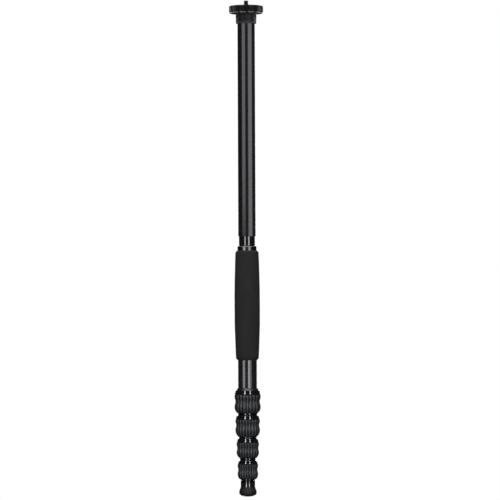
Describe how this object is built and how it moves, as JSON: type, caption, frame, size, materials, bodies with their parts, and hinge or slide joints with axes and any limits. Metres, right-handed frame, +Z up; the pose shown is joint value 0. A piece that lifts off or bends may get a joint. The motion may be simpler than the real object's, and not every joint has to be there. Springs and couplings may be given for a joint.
{
  "type": "camera monopod",
  "caption": "Telescopic twist-lock camera monopod made from a travel tripod's grip leg and centre column, closed, with foam grip, rubber foot and a round platform with a camera screw.",
  "frame": {"origin": "on the ground, under the middle of the rubber foot, on the axis of the tubes", "axes": "+Z up along the tubes from the foot to the camera screw; +X to the right as pictured from the front, -Y towards the camera"},
  "size_m": [0.0454, 0.0454, 0.6596],
  "materials": {
    "black_tube": "gloss black anodised",
    "black_anodised": "satin black anodised",
    "polished_black": "polished black anodised",
    "bright_insert": "turned, dark bright metal",
    "lock_nut_metal": "polished black anodised",
    "collar_metal": "satin black anodised",
    "steel_screw": "blackened steel",
    "grip_foam": "soft closed-cell foam, matt black",
    "grip_rubber": "moulded rubber, matt dark grey",
    "foot_rubber": "moulded rubber, matt black",
    "platform_rubber": "ribbed rubber, matt black",
    "clamp_plastic": "natural acetal",
    "guide_plastic": "black acetal",
    "wiper_felt": "pressed felt"
  },
  "bodies": {
    "section_1": {"leg_tube_1": "black_tube", "leg_insert": "bright_insert", "foam_grip": "grip_foam", "lock_collar_1": "collar_metal", "clamp_shim_1": "clamp_plastic"},
    "column": {"column_screw": "steel_screw", "column_bush": "polished_black", "column_tube": "black_tube", "column_neck": "black_anodised", "neck_grub_screws": "steel_screw", "camera_platform": "black_anodised", "platform_pad": "platform_rubber", "camera_screw": "steel_screw"},
    "section_2": {"leg_tube_2": "black_tube", "guide_shims_2": "guide_plastic", "lock_collar_2": "collar_metal", "clamp_shim_2": "clamp_plastic"},
    "section_3": {"leg_tube_3": "black_tube", "guide_shims_3": "guide_plastic", "lock_collar_3": "collar_metal", "clamp_shim_3": "clamp_plastic"},
    "section_4": {"leg_tube_4": "black_tube", "guide_shims_4": "guide_plastic", "lock_collar_4": "collar_metal", "clamp_shim_4": "clamp_plastic"},
    "section_5": {"leg_tube_5": "black_tube", "guide_shims_5": "guide_plastic", "foot_ferrule": "polished_black", "foot_screw": "steel_screw", "rubber_foot": "foot_rubber"},
    "lock_1": {"lock_nut_1": "lock_nut_metal", "lock_grip_1": "grip_rubber", "wiper_ring_1": "wiper_felt"},
    "lock_2": {"lock_nut_2": "lock_nut_metal", "lock_grip_2": "grip_rubber", "wiper_ring_2": "wiper_felt"},
    "lock_3": {"lock_nut_3": "lock_nut_metal", "lock_grip_3": "grip_rubber", "wiper_ring_3": "wiper_felt"},
    "lock_4": {"lock_nut_4": "lock_nut_metal", "lock_grip_4": "grip_rubber", "wiper_ring_4": "wiper_felt"}
  },
  "joints": [
    {"name": "column_turn", "type": "hinge", "parent": "section_1", "child": "column", "pos_m": [0, 0, 0.33325], "axis": [0, 0, 1], "range_deg": [0, 360]},
    {"name": "section_2_slide", "type": "slide", "parent": "section_1", "child": "section_2", "axis": [0, 0, -1], "range_m": [0, 0.1705]},
    {"name": "section_3_slide", "type": "slide", "parent": "section_2", "child": "section_3", "axis": [0, 0, -1], "range_m": [0, 0.198]},
    {"name": "section_4_slide", "type": "slide", "parent": "section_3", "child": "section_4", "axis": [0, 0, -1], "range_m": [0, 0.2245]},
    {"name": "section_5_slide", "type": "slide", "parent": "section_4", "child": "section_5", "axis": [0, 0, -1], "range_m": [0, 0.248]},
    {"name": "lock_1_turn", "type": "hinge", "parent": "section_1", "child": "lock_1", "pos_m": [0, 0, 0.128], "axis": [0, 0, 1], "range_deg": [0, 120]},
    {"name": "lock_2_turn", "type": "hinge", "parent": "section_2", "child": "lock_2", "pos_m": [0, 0, 0.0948], "axis": [0, 0, 1], "range_deg": [0, 120]},
    {"name": "lock_3_turn", "type": "hinge", "parent": "section_3", "child": "lock_3", "pos_m": [0, 0, 0.0647], "axis": [0, 0, 1], "range_deg": [0, 120]},
    {"name": "lock_4_turn", "type": "hinge", "parent": "section_4", "child": "lock_4", "pos_m": [0, 0, 0.0363], "axis": [0, 0, 1], "range_deg": [0, 120]}
  ]
}
